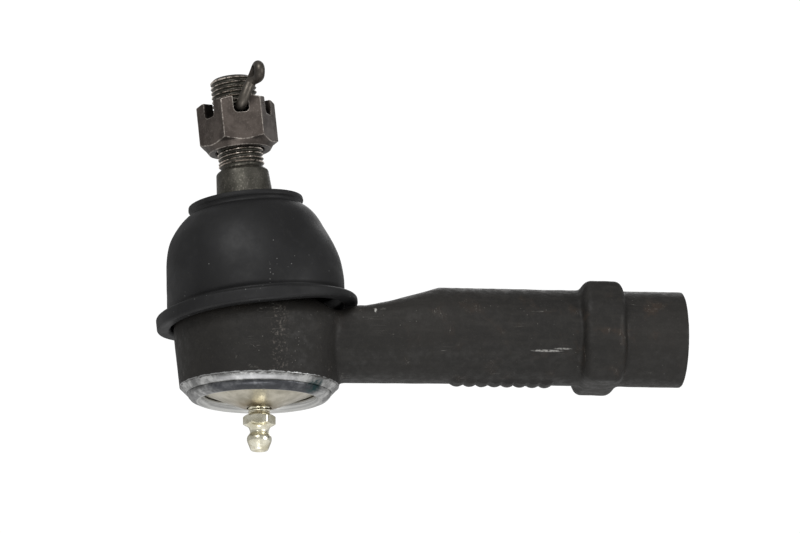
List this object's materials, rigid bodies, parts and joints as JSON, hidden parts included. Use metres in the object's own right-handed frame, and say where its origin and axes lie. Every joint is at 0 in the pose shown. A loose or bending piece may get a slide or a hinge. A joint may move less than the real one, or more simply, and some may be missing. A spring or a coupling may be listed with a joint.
{
  "type": "tie rod end",
  "caption": "Steering ball joint: a ball stud with castle nut and cotter pin, under a rubber dust boot, in a greasable socket at the end of a forged shank with a threaded bore and wrench flats.",
  "frame": {"origin": "centre of the shank's open end, on the axis of its threaded bore", "axes": "+X out of the shank's open end along the bore; +Z along the socket's axis towards the stud; +Y completes the right-handed frame"},
  "size_m": [0.1456, 0.0556, 0.1067],
  "materials": {
    "housing": "thin matt black paint over a forged skin",
    "upper_bearing": "sintered, grey, greased",
    "lower_bearing": "sintered, grey, greased",
    "preload_spring": "dark spring steel",
    "cover_plate": "pressed, pale yellow zinc",
    "grease_fitting_body": "turned, pale yellow zinc",
    "grease_fitting_ball": "polished ball",
    "grease_fitting_spring": "spring wire",
    "dust_boot": "matt black moulded rubber",
    "boot_lip_ring": "dark spring steel",
    "ball_stud": "turned and rolled thread, dark phosphate",
    "castle_nut": "machined, dark phosphate, worn edges",
    "cotter_pin": "drawn half-round wire, brownish"
  },
  "bodies": {
    "housing": {"housing": "housing", "upper_bearing": "upper_bearing", "lower_bearing": "lower_bearing", "preload_spring": "preload_spring", "cover_plate": "cover_plate", "grease_fitting_body": "grease_fitting_body", "grease_fitting_spring": "grease_fitting_spring"},
    "check_ball": {"grease_fitting_ball": "grease_fitting_ball"},
    "boot": {"dust_boot": "dust_boot"},
    "boot_lip": {"boot_lip_ring": "boot_lip_ring"},
    "stud": {"ball_stud": "ball_stud", "castle_nut": "castle_nut", "cotter_pin": "cotter_pin"}
  },
  "joints": [
    {"name": "lean_direction", "type": "hinge", "parent": "housing", "child": "boot", "pos_m": [-0.1173, 0, 0], "axis": [0, 0, 1], "range_deg": [-90, 90], "deforming": ["dust_boot"]},
    {"name": "stud_lean", "type": "hinge", "parent": "boot", "child": "boot_lip", "pos_m": [-0.1173, 0, 0], "axis": [0, 1, 0], "range_deg": [-12.2, 23.8], "deforming": ["dust_boot"]},
    {"name": "stud_spin", "type": "hinge", "parent": "boot_lip", "child": "stud", "pos_m": [-0.1173, 0, 0], "axis": [-0.1011, 0, 0.9949], "continuous": true},
    {"name": "check_ball_lift", "type": "slide", "parent": "housing", "child": "check_ball", "axis": [0, 0, 1], "range_m": [0, 0.0008], "stiffness_N_per_m": 200, "springref_m": -0.0005, "deforming": ["grease_fitting_spring"]}
  ]
}
